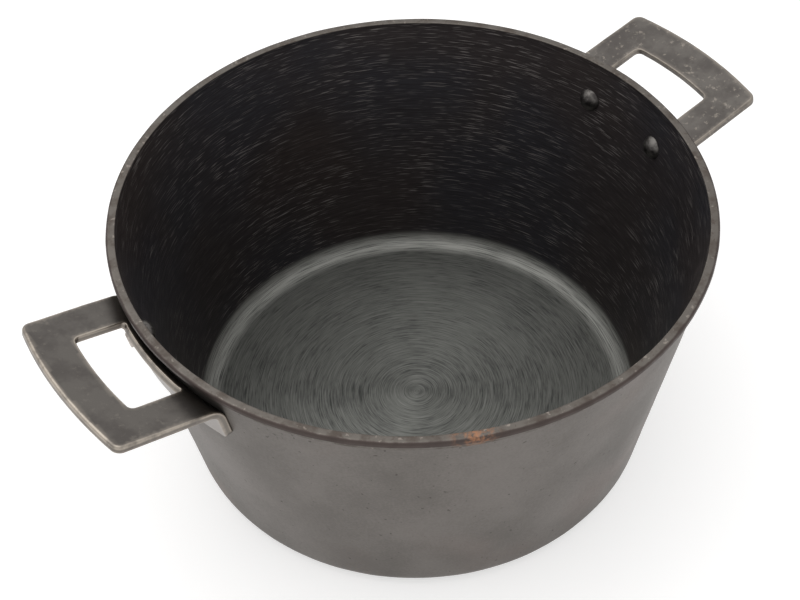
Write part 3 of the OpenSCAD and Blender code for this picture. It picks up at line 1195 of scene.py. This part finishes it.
@dataclass
class Rivet:
    """A rivet: domed head inside the pot, shank through wall and flange, and a tail outside."""

    pot: Pot
    handle: Handle
    end: End
    angle: float = 10.15
    drop: float = 18.5
    shank: float = 6.0
    head: float = 10.4
    head_height: float = 3.2
    tail: float = 6.4
    tail_height: float = 2.4
    chamfer: float = 0.5
    steps: int = 96

    @property
    def seat(self) -> tuple[float, float]:
        """Radius and height where the rivet's axis meets the turned wall."""
        height = self.pot.height - self.drop
        return self.pot.inner_radius(height), height

    def outline(self) -> list[tuple[float, float, float, float]]:
        """Half section of the rivet along its own axis, for chain_mesh."""
        radius, height = self.seat
        lean = math.atan(self.pot.outer_slope)
        more = math.atan(self.pot.inner_slope) - lean
        grip = (self.pot.outer_radius(height) - radius) * math.cos(lean) + self.handle.thickness
        # The head's flat underside stands off the turned wall by its hollow and by its extra lean
        gap = self.head ** 2 / 8 / radius + self.head / 2 * math.sin(more)
        half = self.head / 2
        ball = (half ** 2 + self.head_height ** 2) / 2 / self.head_height
        centre = ball - self.head_height - gap
        reach = math.degrees(math.asin(half / ball))
        dome = arc(0.0, centre, ball, -90, -90 + reach - 4, 14)
        skirt = [(half - 0.06, -gap - 0.16), (half, -gap + 0.02), (half, 0.12), (self.shank / 2 + 0.8, 0.2)]
        shank = [(self.shank / 2, 0.3), (self.shank / 2, grip - 0.2)]
        far = grip + self.tail_height
        side = [(self.tail / 2, grip - 0.15), (self.tail / 2, grip + 0.3), (self.tail / 2, far - self.chamfer - 0.3)]
        end = arc(self.tail / 2 - self.chamfer, far - self.chamfer, self.chamfer, 0, 90, 4)
        face = [(self.tail / 2 - self.chamfer - 0.4, far + 0.01), (1.2, far + 0.02), (0.0, far + 0.02)]
        found = [(r, z, 0.0, 0.05) for r, z in dome + skirt + shank]
        found += [(r, z, 1.0, 0.03) for r, z in side + end + face]
        found[0] = (0.0, dome[0][1], 0.0, 0.0)
        found[-1] = (0.0, face[-1][1], 1.0, 0.0)
        return found

    @staticmethod
    def tree(turning: bpy.types.NodeTree) -> bpy.types.NodeTree:
        """Builds the tree that turns a rivet and sets it in its hole.

        Args:
            turning: the tree that turns an outline.

        Returns:
            The tree, with the hole's place and direction as named inputs.
        """
        tree, bench, given, out = geometry_tree("set_rivet")
        for name, kind, value in (
            ("Steps", "Int", 96), ("Wander Scale", "Float", 200.0), ("Seed", "Float", 0.0),
            ("Hole", "Vector", None), ("Direction", "Vector", None), ("Finish", "Material", None),
        ):
            add_input(tree, name, kind, value)
        turned = bench.add("GeometryNodeGroup", node_tree=turning)
        for name in ("Outline", "Steps", "Wander Scale", "Seed"):
            bench.feed(turned.inputs[name], given.outputs[name])
        point = bench.add("GeometryNodePoints")
        bench.feed(point.inputs["Position"], given.outputs["Hole"])
        aim = bench.add("FunctionNodeAlignRotationToVector", axis="Z")
        bench.feed(aim.inputs["Vector"], given.outputs["Direction"])
        spread = bench.add("GeometryNodeInstanceOnPoints")
        bench.feed(spread.inputs["Points"], point.outputs[0])
        bench.feed(spread.inputs["Instance"], turned.outputs[0])
        bench.feed(spread.inputs["Rotation"], aim.outputs[0])
        real = bench.add("GeometryNodeRealizeInstances")
        bench.feed(real.inputs[0], spread.outputs[0])
        dress = bench.add("GeometryNodeSetMaterial")
        bench.feed(dress.inputs["Geometry"], real.outputs[0])
        bench.feed(dress.inputs["Material"], given.outputs["Finish"])
        bench.feed(out.inputs[0], dress.outputs[0])
        return tree

    def build(self, tree: bpy.types.NodeTree, turning_seed: float, material: bpy.types.Material) -> bpy.types.Object:
        """Makes the rivet.

        Args:
            tree: the tree that sets a rivet.
            turning_seed: picks this rivet's unevenness.
            material: its finish.

        Returns:
            The piece, which stands for the CAD node.
        """
        side = 1.0 if self.handle.side is Side.RIGHT else -1.0
        about = math.radians(self.handle.side.value + side * self.end.value * self.angle)
        lean = math.atan(self.pot.outer_slope)
        radius, height = self.seat
        name = f"{self.handle.side.name.lower()}_{self.end.name.lower()}_rivet"
        piece = run_tree(name, chain_mesh("rivet_outline", self.outline()), tree, {
            "Steps": self.steps,
            "Wander Scale": 240.0,
            "Seed": turning_seed,
            "Hole": (radius * math.cos(about) * MM, radius * math.sin(about) * MM, height * MM),
            "Direction": (math.cos(about) * math.cos(lean), math.sin(about) * math.cos(lean), -math.sin(lean)),
            "Finish": material,
        })
        for attribute in ("face_row", "sway"):
            piece.data.attributes.remove(piece.data.attributes[attribute])
        point_outwards(piece.data)
        return piece


@dataclass
class Studio:
    """White surroundings, a pale floor, soft light and the camera."""

    pot: Pot
    white: float = 1.0
    ambient: float = 0.8
    floor_colour: tuple = tone(250, 249, 248)
    floor_plain: float = 0.52
    floor_dimmed: float = 0.3
    lamp_strength: float = 9.0
    lamp_size: float = 1.6
    # Camera, from the fit to the rim, the outline and both handles; lengths in rim radii
    distance: float = 5.0997
    elevation: float = 43.2387
    yaw: float = -0.5269
    pitch: float = 3.5819
    roll: float = 1.7671
    focal_pixels: float = 1552.6628
    image_width: float = 800.0
    handle_turn: float = 35.3657

    def camera_frame(self) -> tuple[Vector, Matrix]:
        """Place of the camera and its directions.

        Returns:
            The place in metres, and the rotation from camera to world.
        """
        up = math.radians(self.elevation)
        unit = self.pot.rim_radius * MM
        place = Vector((0.0, -self.distance * math.cos(up), self.distance * math.sin(up))) * unit
        place.z += self.pot.height * MM
        level = Matrix(((1, 0, 0), (0, math.sin(up), math.cos(up)), (0, -math.cos(up), math.sin(up))))
        turned = (
            Matrix.Rotation(math.radians(self.roll), 3, "Z")
            @ Matrix.Rotation(math.radians(self.pitch), 3, "X")
            @ Matrix.Rotation(math.radians(self.yaw), 3, "Y")
            @ level
        )
        about = Matrix.Rotation(-math.radians(self.handle_turn), 3, "Z")
        return about @ place, about @ turned.transposed()

    def on_rim(self, across: float, down: float) -> Vector:
        """Point of the rim's top plane that shows at a place in the image.

        Args:
            across: pixels from the left of an image 800 wide.
            down: pixels from its top, of 600.

        Returns:
            The point in metres.
        """
        place, turn = self.camera_frame()
        ray = turn @ Vector(((across - self.image_width / 2) / self.focal_pixels, (300 - down) / self.focal_pixels, -1.0))
        return place + ray * ((self.pot.height * MM - place.z) / ray.z)

    def camera(self) -> None:
        """Sets up the camera at the fitted place."""
        data = bpy.data.cameras.new("camera")
        data.sensor_width = 36.0
        data.sensor_fit = "HORIZONTAL"
        data.lens = self.focal_pixels / self.image_width * data.sensor_width
        data.clip_start = 0.01
        camera = bpy.data.objects.new("camera", data)
        place, turn = self.camera_frame()
        camera.matrix_world = Matrix.Translation(place) @ turn.to_4x4()
        bpy.context.scene.collection.objects.link(camera)
        bpy.context.scene.camera = camera

    def surroundings(self) -> None:
        """White world for the camera and for reflections, and a softer one for the light it gives."""
        world = bpy.data.worlds.new("surroundings")
        world.use_nodes = True
        bpy.context.scene.world = world
        bench = Bench(world.node_tree)
        path = bench.add("ShaderNodeLightPath")
        seen = bench.math("MAXIMUM", path.outputs["Is Camera Ray"], path.outputs["Is Glossy Ray"])
        seen = bench.math("MAXIMUM", seen, path.outputs["Is Transmission Ray"])
        strength = bench.math("ADD", bench.math("MULTIPLY", seen, self.white - self.ambient), self.ambient)
        background = world.node_tree.nodes["Background"]
        bench.feed(background.inputs["Color"], (1.0, 1.0, 1.0, 1.0))
        bench.feed(background.inputs["Strength"], strength)

    def floor(self) -> None:
        """Pale floor that keeps the pot's shadow."""
        half = 3.0
        mesh = bpy.data.meshes.new("floor")
        mesh.from_pydata([(-half, -half, 0), (half, -half, 0), (half, half, 0), (-half, half, 0)], [], [(0, 1, 2, 3)])
        material = bpy.data.materials.new("floor")
        material.use_nodes = True
        shader = material.node_tree.nodes["Principled BSDF"]
        shader.inputs["Base Color"].default_value = self.floor_colour
        shader.inputs["Roughness"].default_value = 0.9
        shader.inputs["Specular IOR Level"].default_value = 0.2
        # Seen or mirrored, part of the floor is plain white, and the rest of it keeps the shadow
        bench = Bench(material.node_tree)
        path = bench.add("ShaderNodeLightPath")
        seen = bench.math("MAXIMUM", path.outputs["Is Camera Ray"], path.outputs["Is Glossy Ray"])
        seen = bench.math("MAXIMUM", seen, path.outputs["Is Transmission Ray"])
        lit = bench.blend(bench.math("MULTIPLY", seen, self.floor_dimmed), self.floor_colour, (0.0, 0.0, 0.0, 1.0))
        bench.feed(shader.inputs["Base Color"], lit)
        shader.inputs["Emission Color"].default_value = (1.0, 1.0, 1.0, 1.0)
        bench.feed(shader.inputs["Emission Strength"], bench.math("MULTIPLY", seen, self.floor_plain))
        mesh.materials.append(material)
        floor = bpy.data.objects.new("floor", mesh)
        bpy.context.scene.collection.objects.link(floor)

    def lamps(self) -> None:
        """One large soft lamp overhead, a little behind and to the left."""
        data = bpy.data.lights.new("overhead", "AREA")
        data.shape = "SQUARE"
        data.size = self.lamp_size
        data.energy = self.lamp_strength
        lamp = bpy.data.objects.new("overhead", data)
        place = Vector((-0.25, 0.45, 1.6))
        lamp.matrix_world = Matrix.Translation(place) @ place.to_track_quat("Z", "Y").to_matrix().to_4x4()
        lamp.visible_camera = False
        bpy.context.scene.collection.objects.link(lamp)

    def build(self) -> None:
        """Sets up everything round the object."""
        self.surroundings()
        self.floor()
        self.lamps()
        self.camera()
        bpy.context.scene.view_settings.view_transform = "Standard"


def place_piece(piece: bpy.types.Object, node: str) -> None:
    """Lets a finished piece ride on the pot and stand for its CAD node.

    Args:
        piece: the piece.
        node: name of the CAD node.
    """
    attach(piece, BODY)
    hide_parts(node)
    triangles = sum(len(p.vertices) - 2 for p in piece.data.polygons)
    log.info("%s stands for %s: %d triangles", piece.name, node, triangles)


def main() -> None:
    """Builds the studio, the pot, its handles and their rivets, in that order."""
    logging.basicConfig(level=logging.INFO, format="%(name)s: %(message)s")
    pot = Pot()
    studio = Studio(pot)
    studio.build()
    log.info("the studio is set up")

    turning = turning_tree()
    rust_place = tuple(studio.on_rim(474.0, 431.0))
    finishes = {Zone.OUTSIDE: CastSkin(), Zone.RIM: GroundRim(rust_place=rust_place), Zone.INSIDE: TurnedIron()}
    place_piece(pot.build(turning, finishes), "pot_body")

    plates = {
        Side.RIGHT: SatinPlate("satin_plate_right", mottle=0.7, wear=0.55, smooth=0.40),
        Side.LEFT: SatinPlate("satin_plate_left", mottle=0.15, wear=1.0, smooth=0.30),
    }
    rivet_tree = Rivet.tree(turning)
    rivet_material = RivetIron().material()
    for number, (side, finish) in enumerate(plates.items()):
        handle = Handle(pot, side, seed=5.0 + 9.0 * number)
        place_piece(handle.build(finish), f"handle_{side.name.lower()}")
        for end in End:
            rivet = Rivet(pot, handle, end)
            piece = rivet.build(rivet_tree, 1.0 + 3.0 * number + end.value, rivet_material)
            place_piece(piece, f"rivet_{side.name.lower()}_{end.name.lower()}")


if __name__ == "__main__":
    main()
